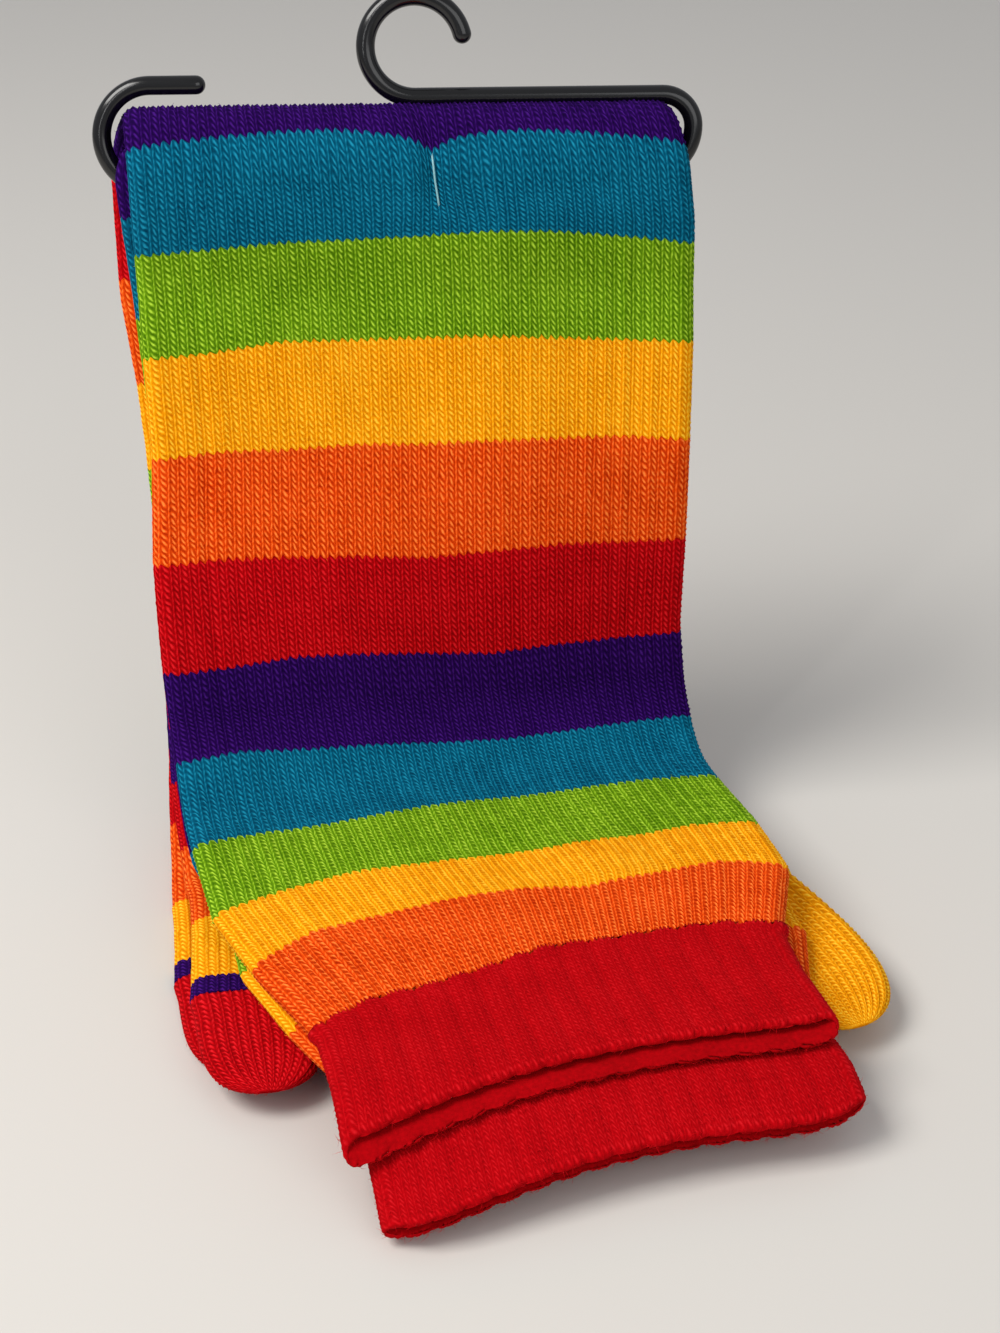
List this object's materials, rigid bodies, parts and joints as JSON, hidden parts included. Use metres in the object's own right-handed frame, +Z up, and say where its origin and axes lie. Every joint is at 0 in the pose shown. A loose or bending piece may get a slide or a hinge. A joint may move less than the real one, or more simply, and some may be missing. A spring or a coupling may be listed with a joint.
{
  "type": "pair of toe socks on a rod hanger",
  "caption": "Striped knitted toe socks with ribbed cuffs and separate toes, laid together and folded over the lower rod of a small hooked hanger, feet flat on the surface.",
  "frame": {"origin": "inside top of the hanger's hook, where a peg or rail carries it", "axes": "+X along the hanger to the right seen from the front, +Y away from the front, +Z up"},
  "size_m": [0.1357, 0.1608, 0.1528],
  "materials": {
    "rod": "glossy black moulded rod",
    "knit": "soft stockinette knit in purple, blue, green, yellow, orange and red stripes",
    "cuff_knit": "soft red rib knit"
  },
  "bodies": {
    "root": {"hanger": "rod", "outer_sock": "knit", "outer_cuff": "cuff_knit", "inner_sock": "knit", "inner_cuff": "cuff_knit"}
  },
  "joints": []
}
